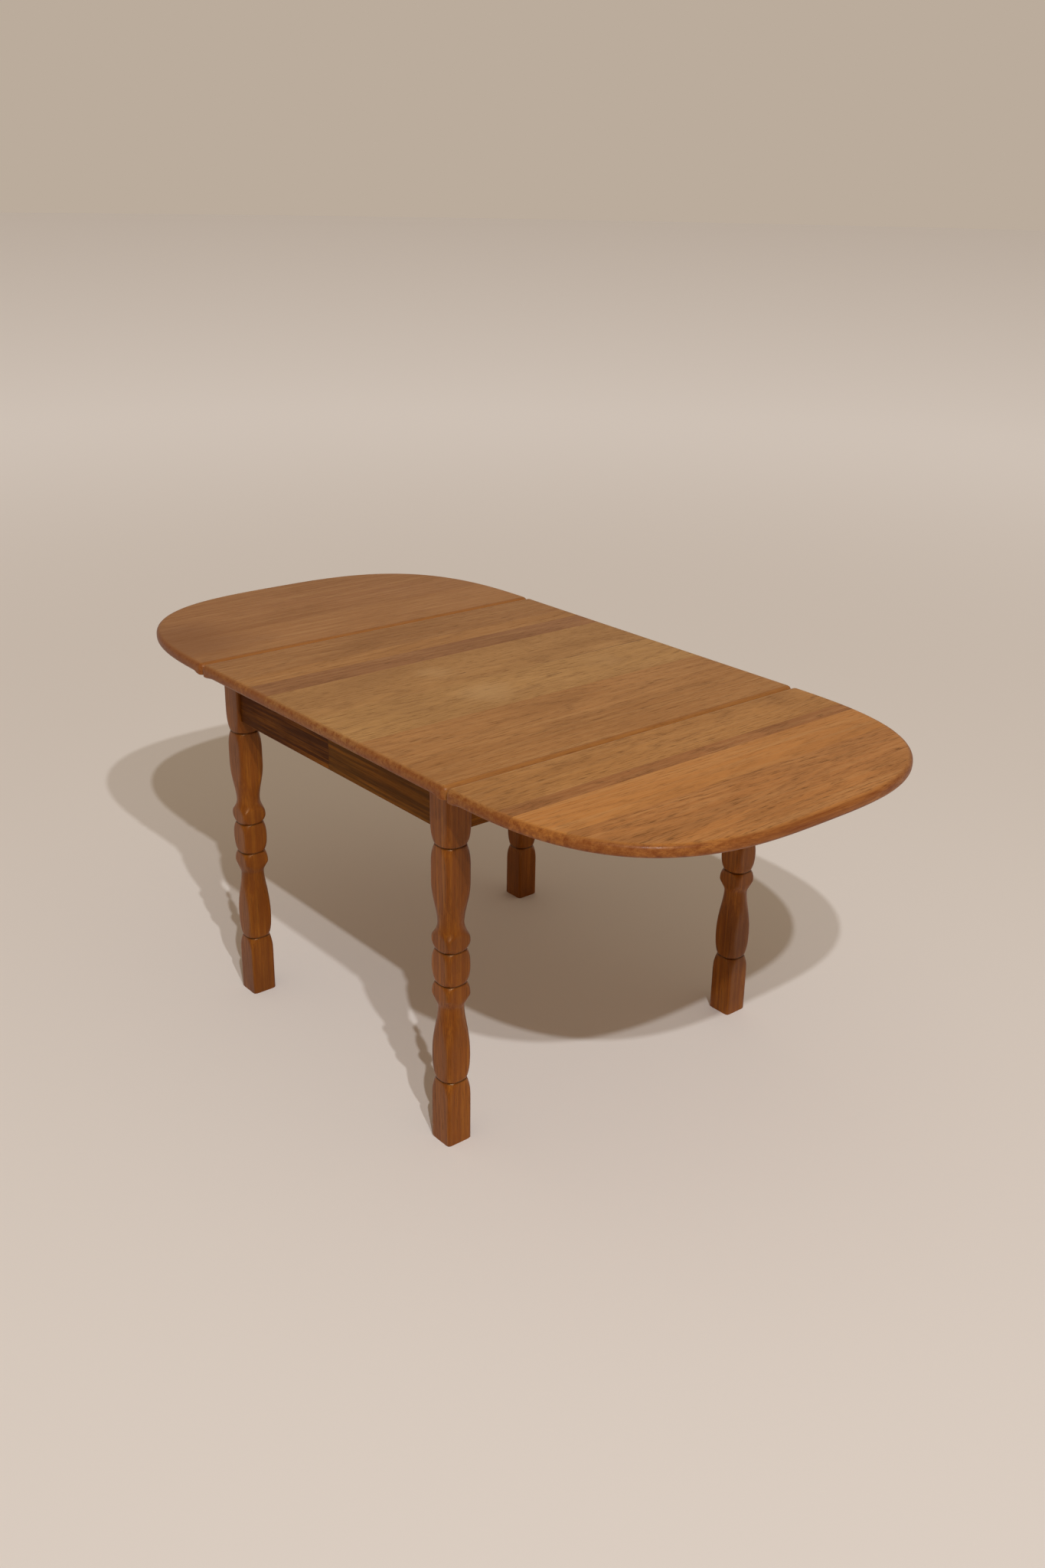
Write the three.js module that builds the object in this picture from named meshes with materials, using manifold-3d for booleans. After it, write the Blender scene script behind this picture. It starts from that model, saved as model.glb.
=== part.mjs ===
// Oak drop leaf table: a fixed centre panel on four turned legs, a hinged leaf at each end,
// and four pull-out lopers that slide out of the end aprons to carry the raised leaves.
// Millimetres, +Z up. +X runs along the table towards the right leaf, -Y is the front.
// The origin is on the floor, under the middle of the top. Both leaves are up, all lopers are in.

import * as THREE from 'three';
import { mergeVertices } from 'three/addons/utils/BufferGeometryUtils.js';
import Module from 'manifold-3d';

const wasm = await Module();
wasm.setup();

// ---- driving dimensions ----

const touch = 0.3;                 // gap left between pieces that touch

const topLength = 1701.8;          // along X, both leaves up
const topWidth = 863.6;            // along Y
const topHeight = 736.6;           // floor to the upper face
const topThickness = 24;
const topEdgeRadius = 10;          // rounded edge all the way round, above and below
const seamX = 408;                 // joint line between centre panel and leaf
const seamGap = 1.2;
const seamRound = 10;              // rounded upper arris along the joint, same as the outer edge
const seamCornerRound = 12;        // rounded corners at both ends of the joint
const leafEndPower = 2.8;          // superellipse exponents of a leaf's curved end
const leafSidePower = 3;

const legSide = 53;                // square blank
const legX = 349.5;                // leg centre lines
const legY = 373.7;
const grooveRadius = 27.3;         // bottom of every turned groove

const apronThickness = 22;
const apronHeight = 83;
const apronInset = 7;              // apron face behind the leg's outer face
const tenonThickness = 10;
const tenonHeight = 60;
const tenonLength = 23.5;
const mortiseDepth = 24;

const railX = 200;                 // cross rails that guide the lopers
const railThickness = 24;
const railHeight = 70;
const railTenonLength = 8;
const railTenonThickness = 12;
const railTenonHeight = 44;

const loperWidth = 44;
const loperThickness = 24;
const loperTravel = 260;
const loperTipOverhang = 26;       // stands out of the end apron when pushed in
const loperTailLength = 20;        // behind the stop peg
const rightLoperY = 190;
const leftLoperY = 140;
const loperSideGap = 0.5;
const loperTopGap = 1.1;           // under the top and the leaves
const stopPegRadius = 5;
const stopPegDepth = 13.5;         // length inside the loper
const stopPegDrop = 12;            // length below it

const hingeY = [-300, 0, 300];     // centres of the hinges along each joint
const hingeLength = 60;
const hingePlateThickness = 2;
const hingeFixedReach = 32;        // from the pin to the plate's far edge
const hingeLeafReach = 52;
const knuckleRadius = 4;
const knuckleCount = 5;
const knuckleGap = 0.3;
const pinRadius = 1.7;
const pinBoreRadius = 2;

const buttonLength = 38;           // clear of the apron
const buttonWidth = 28;
const buttonThickness = 20;
const buttonTongue = 7;
const buttonTongueThickness = 8;
const buttonLongX = [-250, 0, 250];
const slotClearance = 0.5;         // above and below a tongue, and past the end of a stub tenon
const buttonSlotSpare = 1;         // each side of a tongue and behind it
const cutSpare = 1;                // how far a cutter runs past the face it opens

const blockThickness = 22;         // corner blocks, measured square to their face
const blockHeight = 50;
const blockBelowTop = 8;

// ---- derived places ----

const underside = topHeight - topThickness;
const frameTop = underside - touch;
const legFaceInX = legX - legSide / 2;
const legFaceInY = legY - legSide / 2;
const apronEndOuterX = legX + legSide / 2 - apronInset;
const apronLongOuterY = legY + legSide / 2 - apronInset;
const apronEndInnerX = apronEndOuterX - apronThickness;
const apronLongInnerY = apronLongOuterY - apronThickness;
const apronFromLegAxis = legSide / 2 - apronInset - apronThickness / 2;
const tenonZ = frameTop - apronHeight / 2;
const loperBottom = underside - loperTopGap - loperThickness;
const notchBottom = loperBottom - loperSideGap;
const loperTipX = apronEndOuterX + loperTipOverhang;
const stopPegX = railX - railThickness / 2 - loperSideGap - stopPegRadius - loperTravel;
const loperTailX = stopPegX - loperTailLength;
const hingePinZ = underside - touch - knuckleRadius;
const tongueZ = frameTop - buttonThickness + buttonTongueThickness / 2;

// ---- solids ----

function solidOf(geometry) {
  const bare = geometry.clone();
  bare.deleteAttribute('normal');
  bare.deleteAttribute('uv');
  const merged = mergeVertices(bare, 1e-3);
  const corners = merged.index.array;
  const kept = [];
  for (let i = 0; i < corners.length; i += 3) {
    const [a, b, c] = corners.slice(i, i + 3);
    if (a !== b && b !== c && c !== a) kept.push(a, b, c);
  }
  const mesh = new wasm.Mesh({
    numProp: 3,
    vertProperties: Float32Array.from(merged.attributes.position.array),
    triVerts: Uint32Array.from(kept),
  });
  return new wasm.Manifold(mesh);
}

function geometryOf(solid) {
  const mesh = solid.getMesh();
  const geometry = new THREE.BufferGeometry();
  geometry.setAttribute('position', new THREE.BufferAttribute(mesh.vertProperties, 3));
  geometry.setIndex(new THREE.BufferAttribute(mesh.triVerts, 1));
  geometry.computeVertexNormals();
  return geometry;
}

// A box given by its low and high corners.
function box(low, high) {
  const size = high.map((value, i) => value - low[i]);
  const geometry = new THREE.BoxGeometry(...size);
  return geometry.translate(...low.map((value, i) => value + size[i] / 2));
}

function cutBox(low, high) {
  return solidOf(box(low, high));
}

function extrudeUp(shape, zLow, zHigh) {
  const options = { depth: zHigh - zLow, bevelEnabled: false, curveSegments: 5 };
  return new THREE.ExtrudeGeometry(shape, options).translate(0, 0, zLow);
}

// Extrudes an X-Z section along Y.
function extrudeAlongY(shape, yLow, yHigh) {
  const options = { depth: yHigh - yLow, bevelEnabled: false, curveSegments: 5 };
  return new THREE.ExtrudeGeometry(shape, options).rotateX(Math.PI / 2).translate(0, yHigh, 0);
}

// A round bar along Y with its axis at (x, z).
function barAlongY(radius, yLow, yHigh, x, z, sides) {
  const bar = new THREE.CylinderGeometry(radius, radius, yHigh - yLow, sides);
  return bar.translate(x, (yLow + yHigh) / 2, z);
}

function polygon(points) {
  return new THREE.Shape(points.map(([x, y]) => new THREE.Vector2(x, y)));
}

const table = new THREE.Group();

const looks = {
  topOak: { color: 0x9d6d3c, roughness: 0.42, metalness: 0 },
  legOak: { color: 0x84502b, roughness: 0.4, metalness: 0 },
  frameOak: { color: 0x8f6034, roughness: 0.5, metalness: 0 },
  hiddenOak: { color: 0xa98455, roughness: 0.65, metalness: 0 },
  hingeSteel: { color: 0x6e675c, roughness: 0.4, metalness: 1 },
};

function addPiece(name, geometry, look, place = [0, 0, 0], turn = 0) {
  const mesh = new THREE.Mesh(geometry, new THREE.MeshStandardMaterial(looks[look]));
  mesh.name = name;
  mesh.position.set(...place);
  mesh.rotation.z = turn;
  table.add(mesh);
}

// ---- top: centre panel and two leaves ----

// One leaf's curved end, from the back seam corner round to the front one.
function leafEndPoints(steps) {
  const points = [];
  for (let i = 0; i <= 2 * steps; i += 1) {
    const angle = Math.PI / 2 - (Math.PI / 2) * (i / steps);
    const along = Math.abs(Math.cos(angle)) ** (2 / leafEndPower);
    const across = Math.sign(Math.sin(angle)) * Math.abs(Math.sin(angle)) ** (2 / leafSidePower);
    points.push([seamX + (topLength / 2 - seamX) * along, (topWidth / 2) * across]);
  }
  return points;
}

function wholeTop() {
  const rightEnd = leafEndPoints(12);
  const leftEnd = rightEnd.map(([x, y]) => [-x, -y]);
  const options = {
    depth: topThickness - 2 * topEdgeRadius,
    bevelThickness: topEdgeRadius,
    bevelSize: topEdgeRadius,
    bevelOffset: -topEdgeRadius,
    bevelSegments: 4,
  };
  const geometry = new THREE.ExtrudeGeometry(polygon([...rightEnd, ...leftEnd].reverse()), options);
  return solidOf(geometry.translate(0, 0, underside + topEdgeRadius));
}

// A narrow slot whose mouth, at y = 0, flares out with two round arrises.
function flaredSlot(flare, depth, overshoot) {
  const half = seamGap / 2;
  const slot = new THREE.Shape();
  slot.moveTo(-half - flare, overshoot);
  slot.lineTo(-half - flare, 0);
  slot.absarc(-half - flare, -flare, flare, Math.PI / 2, 0, true);
  slot.lineTo(-half, -depth);
  slot.lineTo(half, -depth);
  slot.lineTo(half, -flare);
  slot.absarc(half + flare, -flare, flare, Math.PI, Math.PI / 2, true);
  slot.lineTo(half + flare, overshoot);
  slot.closePath();
  return slot;
}

// Everything that a joint takes out of the whole top.
function seamCutter() {
  const mouth = flaredSlot(seamRound, topThickness + cutSpare, cutSpare);
  const seam = solidOf(extrudeAlongY(mouth, -topWidth, topWidth).translate(0, 0, topHeight));
  const corner = flaredSlot(seamCornerRound, seamCornerRound + cutSpare, cutSpare);
  const back = extrudeUp(corner, underside - cutSpare, topHeight + cutSpare).translate(0, topWidth / 2, 0);
  const front = back.clone().rotateZ(Math.PI);
  return seam.add(solidOf(back)).add(solidOf(front));
}

function addTop() {
  const cutter = seamCutter();
  const cut = wholeTop().subtract(cutter.translate([seamX, 0, 0])).subtract(cutter.translate([-seamX, 0, 0]));
  const reach = [topLength, topWidth, topHeight + cutSpare];
  const centre = cutBox([-seamX, -topWidth, 0], [seamX, topWidth, reach[2]]);
  const right = cutBox([seamX, -topWidth, 0], reach);
  const left = cutBox([-topLength, -topWidth, 0], [-seamX, topWidth, reach[2]]);
  addPiece('centre_panel', geometryOf(cut.intersect(centre)), 'topOak');
  addPiece('right_leaf', geometryOf(cut.intersect(right)), 'topOak');
  addPiece('left_leaf', geometryOf(cut.intersect(left)), 'topOak');
}

// ---- legs ----

// Half profile of the turning, radius against height. It is only seen where it lies inside the
// square blank, so the straight blocks at the foot and the top are drawn wider than the blank.
function turningProfile() {
  const clear = legSide;
  const bulge = 35.4;
  const neck = 23.7;
  const lip = grooveRadius + 1.1;
  const profile = new THREE.Path();
  profile.moveTo(0, 0);
  profile.lineTo(clear, 0);
  profile.lineTo(clear, 102);
  profile.lineTo(38, 102);
  profile.bezierCurveTo(35.5, 112, 32.5, 122, lip, 130.5);
  profile.lineTo(grooveRadius, 132);
  profile.lineTo(lip, 133.5);
  profile.bezierCurveTo(32, 140, bulge, 158, bulge, 182);
  profile.bezierCurveTo(bulge, 222, 24.5, 251, neck, 279);
  profile.lineTo(neck + 0.3, 286);
  profile.lineTo(32.4, 302);
  profile.quadraticCurveTo(bulge, 306, bulge, 309.5);
  profile.bezierCurveTo(bulge, 317, 33, 325, lip, 330.5);
  profile.lineTo(grooveRadius, 332);
  profile.lineTo(lip, 333.5);
  profile.bezierCurveTo(32, 340, bulge, 351, bulge, 366);
  profile.bezierCurveTo(bulge, 383, 32.4, 391, lip, 397);
  profile.lineTo(grooveRadius, 398.5);
  profile.lineTo(lip, 400);
  profile.bezierCurveTo(31.5, 405, bulge, 410, bulge, 417);
  profile.quadraticCurveTo(bulge, 424, 31.5, 428.5);
  profile.bezierCurveTo(27, 434.5, neck, 441, neck, 452);
  profile.bezierCurveTo(24.6, 478, 34.5, 498, bulge, 530);
  profile.lineTo(bulge, 562);
  profile.bezierCurveTo(bulge, 580, 31.5, 592, lip, 600);
  profile.lineTo(grooveRadius, 601.5);
  profile.lineTo(lip, 603);
  profile.bezierCurveTo(32.5, 610, 36, 620, 38, 640);
  profile.lineTo(clear, 640);
  profile.lineTo(clear, frameTop);
  profile.lineTo(0, frameTop);
  return profile;
}

// The leg that stands at +X +Y: its aprons enter it from -X and from -Y.
function legGeometry() {
  const half = legSide / 2;
  const turned = solidOf(new THREE.LatheGeometry(turningProfile().getPoints(3), 16).rotateX(Math.PI / 2));
  const blank = cutBox([-half, -half, 0], [half, half, frameTop]);
  const low = tenonZ - tenonHeight / 2 - touch;
  const high = tenonZ + tenonHeight / 2 + touch;
  const near = apronFromLegAxis - tenonThickness / 2 - touch;
  const far = apronFromLegAxis + tenonThickness / 2 + touch;
  const fromX = cutBox([-half - cutSpare, near, low], [-half + mortiseDepth, far, high]);
  const fromY = cutBox([near, -half - cutSpare, low], [far, -half + mortiseDepth, high]);
  return geometryOf(turned.intersect(blank).subtract(fromX).subtract(fromY));
}

const corners = [
  { name: 'back_right', x: 1, y: 1, turn: 0 },
  { name: 'back_left', x: -1, y: 1, turn: Math.PI / 2 },
  { name: 'front_left', x: -1, y: -1, turn: Math.PI },
  { name: 'front_right', x: 1, y: -1, turn: -Math.PI / 2 },
];

function addLegs() {
  const leg = legGeometry();
  for (const corner of corners) {
    addPiece(`leg_${corner.name}`, leg, 'legOak', [corner.x * legX, corner.y * legY, 0], corner.turn);
  }
}

// ---- aprons, cross rails and corner blocks ----

// An apron board along X with its tenons, its outer face towards -Y at y = 0.
function apronBoard(span) {
  const half = span / 2;
  const middle = apronThickness / 2;
  const low = [-half - tenonLength, middle - tenonThickness / 2, tenonZ - tenonHeight / 2];
  const high = [half + tenonLength, middle + tenonThickness / 2, tenonZ + tenonHeight / 2];
  const board = cutBox([-half + touch, 0, frameTop - apronHeight], [half - touch, apronThickness, frameTop]);
  return board.add(cutBox(low, high));
}

// The slot in an apron's inner face that a top button's tongue enters.
function buttonSlot(x) {
  const half = buttonWidth / 2 + buttonSlotSpare;
  const halfHeight = buttonTongueThickness / 2 + slotClearance;
  const bottom = apronThickness - buttonTongue - buttonSlotSpare;
  const low = [x - half, bottom, tongueZ - halfHeight];
  const high = [x + half, apronThickness + cutSpare, tongueZ + halfHeight];
  return cutBox(low, high);
}

function railMortise(x) {
  const half = railTenonThickness / 2 + touch;
  const middle = frameTop - railHeight / 2;
  const halfHeight = railTenonHeight / 2 + touch;
  const bottom = apronThickness - railTenonLength - slotClearance;
  const low = [x - half, bottom, middle - halfHeight];
  const high = [x + half, apronThickness + cutSpare, middle + halfHeight];
  return cutBox(low, high);
}

function addLongAprons() {
  let board = apronBoard(2 * legFaceInX);
  for (const x of buttonLongX) board = board.subtract(buttonSlot(x));
  for (const x of [-railX, railX]) board = board.subtract(railMortise(x));
  const apron = geometryOf(board);
  addPiece('apron_front', apron, 'frameOak', [0, -apronLongOuterY, 0]);
  addPiece('apron_back', apron, 'frameOak', [0, apronLongOuterY, 0], Math.PI);
}

// The way a loper takes through an apron or a rail that is cut open at its top edge.
function loperNotch(low, high) {
  return cutBox([low[0], low[1], notchBottom], [high[0], high[1], frameTop + cutSpare]);
}

function addEndAprons() {
  const reach = loperWidth / 2 + loperSideGap;
  for (const side of [{ name: 'right', y: rightLoperY, turn: Math.PI / 2 },
    { name: 'left', y: leftLoperY, turn: -Math.PI / 2 }]) {
    let board = apronBoard(2 * legFaceInY).subtract(buttonSlot(0));
    for (const y of [-side.y, side.y]) {
      board = board.subtract(loperNotch([y - reach, -cutSpare], [y + reach, apronThickness + cutSpare]));
    }
    const x = side.turn > 0 ? apronEndOuterX : -apronEndOuterX;
    addPiece(`apron_${side.name}`, geometryOf(board), 'frameOak', [x, 0, 0], side.turn);
  }
}

function addCrossRails() {
  const halfX = railThickness / 2;
  const endY = apronLongInnerY - touch;
  const middle = frameTop - railHeight / 2;
  const reach = loperWidth / 2 + loperSideGap;
  for (const side of [{ name: 'right', x: railX, y: rightLoperY },
    { name: 'left', x: -railX, y: leftLoperY }]) {
    let rail = cutBox([-halfX, -endY, frameTop - railHeight], [halfX, endY, frameTop]);
    const tenonReach = apronLongInnerY + railTenonLength;
    rail = rail.add(cutBox(
      [-railTenonThickness / 2, -tenonReach, middle - railTenonHeight / 2],
      [railTenonThickness / 2, tenonReach, middle + railTenonHeight / 2],
    ));
    for (const y of [-side.y, side.y]) {
      rail = rail.subtract(loperNotch([-halfX - cutSpare, y - reach], [halfX + cutSpare, y + reach]));
    }
    addPiece(`cross_rail_${side.name}`, geometryOf(rail), 'hiddenOak', [side.x, 0, 0]);
  }
}

// A block across the corner behind each leg. It is drawn for the leg at +X +Y, from the
// meeting point of the two aprons' inner faces, and clears the leg's inner corner.
function addCornerBlocks() {
  const legCorner = apronEndInnerX - legFaceInX + apronLongInnerY - legFaceInY;
  const near = legCorner + 2 * touch;
  const far = near + blockThickness * Math.SQRT2;
  const plan = polygon([
    [-touch, -near], [-near, -touch], [-far, -touch], [-touch, -far],
  ]);
  const top = frameTop - blockBelowTop;
  const block = extrudeUp(plan, top - blockHeight, top);
  for (const corner of corners) {
    const place = [corner.x * apronEndInnerX, corner.y * apronLongInnerY, 0];
    addPiece(`corner_block_${corner.name}`, block, 'hiddenOak', place, corner.turn);
  }
}

// ---- top buttons ----

// Its tongue points along +X, and x = 0 is the apron's inner face.
function buttonGeometry() {
  const low = frameTop - buttonThickness;
  const section = polygon([
    [-buttonLength, low], [buttonTongue, low], [buttonTongue, low + buttonTongueThickness],
    [-touch, low + buttonTongueThickness], [-touch, frameTop], [-buttonLength, frameTop],
  ]);
  return extrudeAlongY(section, -buttonWidth / 2, buttonWidth / 2);
}

function addButtons() {
  const button = buttonGeometry();
  const places = [
    { name: 'right', at: [apronEndInnerX, 0], turn: 0 },
    { name: 'left', at: [-apronEndInnerX, 0], turn: Math.PI },
  ];
  buttonLongX.forEach((x, i) => {
    places.push({ name: `back_${i + 1}`, at: [x, apronLongInnerY], turn: Math.PI / 2 });
    places.push({ name: `front_${i + 1}`, at: [x, -apronLongInnerY], turn: -Math.PI / 2 });
  });
  for (const place of places) {
    addPiece(`top_button_${place.name}`, button, 'hiddenOak', [...place.at, 0], place.turn);
  }
}

// ---- lopers and their stop pegs ----

// Drawn for the right end, with its middle on y = 0. The left ones are turned half a turn.
function loperGeometry() {
  const half = loperWidth / 2;
  const bar = cutBox([loperTailX, -half, loperBottom], [loperTipX, half, loperBottom + loperThickness]);
  const holeRadius = stopPegRadius + touch;
  const hole = new THREE.CylinderGeometry(holeRadius, holeRadius, stopPegDepth + cutSpare, 12);
  hole.rotateX(Math.PI / 2).translate(stopPegX, 0, loperBottom + (stopPegDepth - cutSpare) / 2);
  return geometryOf(bar.subtract(solidOf(hole)));
}

function stopPegGeometry() {
  const length = stopPegDepth - touch + stopPegDrop;
  const peg = new THREE.CylinderGeometry(stopPegRadius, stopPegRadius, length, 12);
  return peg.rotateX(Math.PI / 2).translate(stopPegX, 0, loperBottom - stopPegDrop + length / 2);
}

function addLopers() {
  const loper = loperGeometry();
  const peg = stopPegGeometry();
  for (const end of [{ name: 'right', y: rightLoperY, turn: 0 },
    { name: 'left', y: leftLoperY, turn: Math.PI }]) {
    for (const [side, sign] of [['front', -1], ['back', 1]]) {
      const place = [0, sign * end.y, 0];
      addPiece(`loper_${end.name}_${side}`, loper, 'hiddenOak', place, end.turn);
      addPiece(`loper_stop_${end.name}_${side}`, peg, 'legOak', place, end.turn);
    }
  }
}

// ---- hinges ----

// One half of a hinge, its pin along Y at the origin, its plate reaching out along +X.
function hingeHalf(reach, isFixed) {
  const half = hingeLength / 2;
  const plateLow = knuckleRadius - hingePlateThickness;
  const clear = knuckleRadius + touch;
  let piece = cutBox([clear, -half, plateLow], [reach, half, knuckleRadius]);
  const pitch = hingeLength / knuckleCount;
  for (let i = 0; i < knuckleCount; i += 1) {
    if ((i % 2 === 0) === isFixed) {
      const low = -half + i * pitch + (i === 0 ? 0 : knuckleGap / 2);
      const high = -half + (i + 1) * pitch - (i === knuckleCount - 1 ? 0 : knuckleGap / 2);
      piece = piece.add(cutBox([0, low, plateLow], [clear + cutSpare, high, knuckleRadius]));
      piece = piece.add(solidOf(barAlongY(knuckleRadius, low, high, 0, 0, 12)));
    }
  }
  return piece.subtract(solidOf(barAlongY(pinBoreRadius, -half - cutSpare, half + cutSpare, 0, 0, 8)));
}

function addHinges() {
  const fixed = geometryOf(hingeHalf(hingeFixedReach, true));
  const moving = geometryOf(hingeHalf(hingeLeafReach, false));
  const pin = barAlongY(pinRadius, -hingeLength / 2, hingeLength / 2, 0, 0, 8);
  for (const [name, side] of [['right', 1], ['left', -1]]) {
    const outward = side > 0 ? 0 : Math.PI;
    hingeY.forEach((y, i) => {
      const place = [side * seamX, y, hingePinZ];
      addPiece(`hinge_${name}_${i + 1}_fixed_plate`, fixed, 'hingeSteel', place, outward + Math.PI);
      addPiece(`hinge_${name}_${i + 1}_leaf_plate`, moving, 'hingeSteel', place, outward);
      addPiece(`hinge_${name}_${i + 1}_pin`, pin, 'hingeSteel', place);
    });
  }
}

addTop();
addLegs();
addLongAprons();
addEndAprons();
addCrossRails();
addCornerBlocks();
addButtons();
addLopers();
addHinges();

export default table;
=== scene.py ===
import math
import random

import bmesh
import bpy
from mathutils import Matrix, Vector


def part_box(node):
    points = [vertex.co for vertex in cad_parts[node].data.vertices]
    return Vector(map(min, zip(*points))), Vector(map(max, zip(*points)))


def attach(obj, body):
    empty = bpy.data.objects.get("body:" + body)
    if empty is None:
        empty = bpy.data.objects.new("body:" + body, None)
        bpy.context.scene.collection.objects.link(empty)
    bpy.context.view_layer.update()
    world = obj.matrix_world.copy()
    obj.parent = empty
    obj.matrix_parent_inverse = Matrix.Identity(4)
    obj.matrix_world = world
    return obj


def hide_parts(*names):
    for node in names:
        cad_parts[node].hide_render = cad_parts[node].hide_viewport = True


# Oak drop leaf table: centre panel on four turned legs, a hinged leaf at each end, pull-out lopers.
# +X runs along the table, -Y is the front. The sizes below are in millimetres, as a joiner writes them.

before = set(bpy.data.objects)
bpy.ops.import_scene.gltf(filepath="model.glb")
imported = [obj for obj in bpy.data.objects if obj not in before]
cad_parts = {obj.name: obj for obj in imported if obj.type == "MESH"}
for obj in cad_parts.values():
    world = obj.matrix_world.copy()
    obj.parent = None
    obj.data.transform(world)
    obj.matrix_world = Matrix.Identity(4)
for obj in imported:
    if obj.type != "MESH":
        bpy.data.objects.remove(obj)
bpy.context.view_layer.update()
scene = bpy.context.scene
scene.view_settings.view_transform = "Standard"
mm = 0.001


def linear(hexColour):
    channels = [int(hexColour[i:i + 2], 16) / 255 for i in (1, 3, 5)]
    return [c / 12.92 if c <= 0.04045 else ((c + 0.055) / 1.055) ** 2.4 for c in channels]


def plug(tree, node, links):
    # links: a socket's name or number -> a node, a socket, a hex colour or a plain value
    # a list fills the sockets in order
    for name, value in links.items() if isinstance(links, dict) else enumerate(links):
        target = node.inputs[name] if isinstance(name, int) else next(
            s for s in node.inputs if s.name == name and s.enabled)
        if isinstance(value, bpy.types.Node):
            value = next(s for s in value.outputs if s.enabled)
        if isinstance(value, bpy.types.NodeSocket):
            tree.links.new(value, target)
        elif isinstance(value, str) and value.startswith("#"):
            target.default_value = (*linear(value), 1)
        else:
            target.default_value = value


def addNode(tree, kind, links=(), stops=None, blend="LINEAR", **settings):
    node = tree.nodes.new(kind)
    for name, value in settings.items():
        setattr(node, name, value)
    if stops:
        ramp = node.color_ramp
        ramp.interpolation = blend
        ramp.elements.remove(ramp.elements[1])
        for i, (place, colour) in enumerate(stops):
            element = ramp.elements[0] if i == 0 else ramp.elements.new(place)
            element.position = place
            element.color = (*(linear(colour) if isinstance(colour, str) else colour), 1)
    plug(tree, node, links)
    return node


def grey(level):
    return (level, level, level)


def newPiece(name, points, faces, material, sharpAngle=None, marks=None):
    # a mesh with its place in its vertices; marks are per-vertex numbers for the material
    mesh = bpy.data.meshes.new(name)
    mesh.from_pydata([(x * mm, y * mm, z * mm) for x, y, z in points], [], faces)
    mesh.materials.append(material)
    mesh.polygons.foreach_set("use_smooth", [True] * len(mesh.polygons))
    for mark, values in (marks or {}).items():
        layer = mesh.attributes.new(mark, "FLOAT", "POINT")
        layer.data.foreach_set("value", values)
    if sharpAngle:
        mesh.set_sharp_from_angle(angle=math.radians(sharpAngle))
    obj = bpy.data.objects.new(name, mesh)
    scene.collection.objects.link(obj)
    return obj


def mount(obj, body, slotName, *nodes):
    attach(obj, body)
    if nodes:
        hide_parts(*nodes)


def ringFaces(rings, count):
    # quads between successive rings of points, then a cap at each end
    faces = []
    for r in range(rings - 1):
        for i in range(count):
            j = (i + 1) % count
            faces.append((r * count + i, r * count + j, (r + 1) * count + j, (r + 1) * count + i))
    faces.append(tuple(range(count))[::-1])
    faces.append(tuple(range((rings - 1) * count, rings * count)))
    return faces


def keepResult(obj, modifier):
    # the modifier's result becomes the piece's plain mesh
    depsgraph = bpy.context.evaluated_depsgraph_get()
    mesh = bpy.data.meshes.new_from_object(obj.evaluated_get(depsgraph))
    obj.modifiers.remove(modifier)
    obj.data = mesh


def runTree(name, mesh, tree, values):
    # a new piece made from a mesh by a node tree, whose inputs are set by their identifiers
    obj = bpy.data.objects.new(name, mesh)
    scene.collection.objects.link(obj)
    modifier = obj.modifiers.new("tree", "NODES")
    modifier.node_group = tree
    sockets = {item.name: item.identifier for item in tree.interface.items_tree if item.in_out == "INPUT"}
    for label, value in values.items():
        modifier[sockets[label]] = value
    keepResult(obj, modifier)
    return obj


def smoothStep(t):
    t = max(0.0, min(1.0, t))
    return t * t * (3 - 2 * t)


# Solid oak is ring porous: each year's growth starts with a dark band of open pores, and the rest is
# dense and paler. Seen along the grain the pores are short dark dashes, 0.3 mm wide by 5 to 30 mm;
# they are drawn about 1.7 mm wide, so that they still show at arm's length.
oakGrain = {
    "warp": {"width": 55, "length": 350, "detail": 2.0, "roughness": 0.5, "offset": 3.1},
    "pores": {"width": 1.7, "length": 26, "detail": 2.0, "roughness": 0.6, "offset": 11.0},
    "streaks": {"width": 8, "length": 300, "detail": 4.0, "roughness": 0.65, "offset": 23.0},
    "mottle": {"width": 90, "length": 260, "detail": 3.0, "roughness": 0.5, "offset": 31.0},
    "warpDepth": 5, "boardShift": 7.0, "plainCrown": 0.35, "lean": 0.012, "heartSpread": 0.45, "checkWave": 1.5,
    "reliefDepth": 0.12, "poreRoughness": 0.2, "sheenChange": 0.12, "coatRoughness": 0.14,
}


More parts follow.
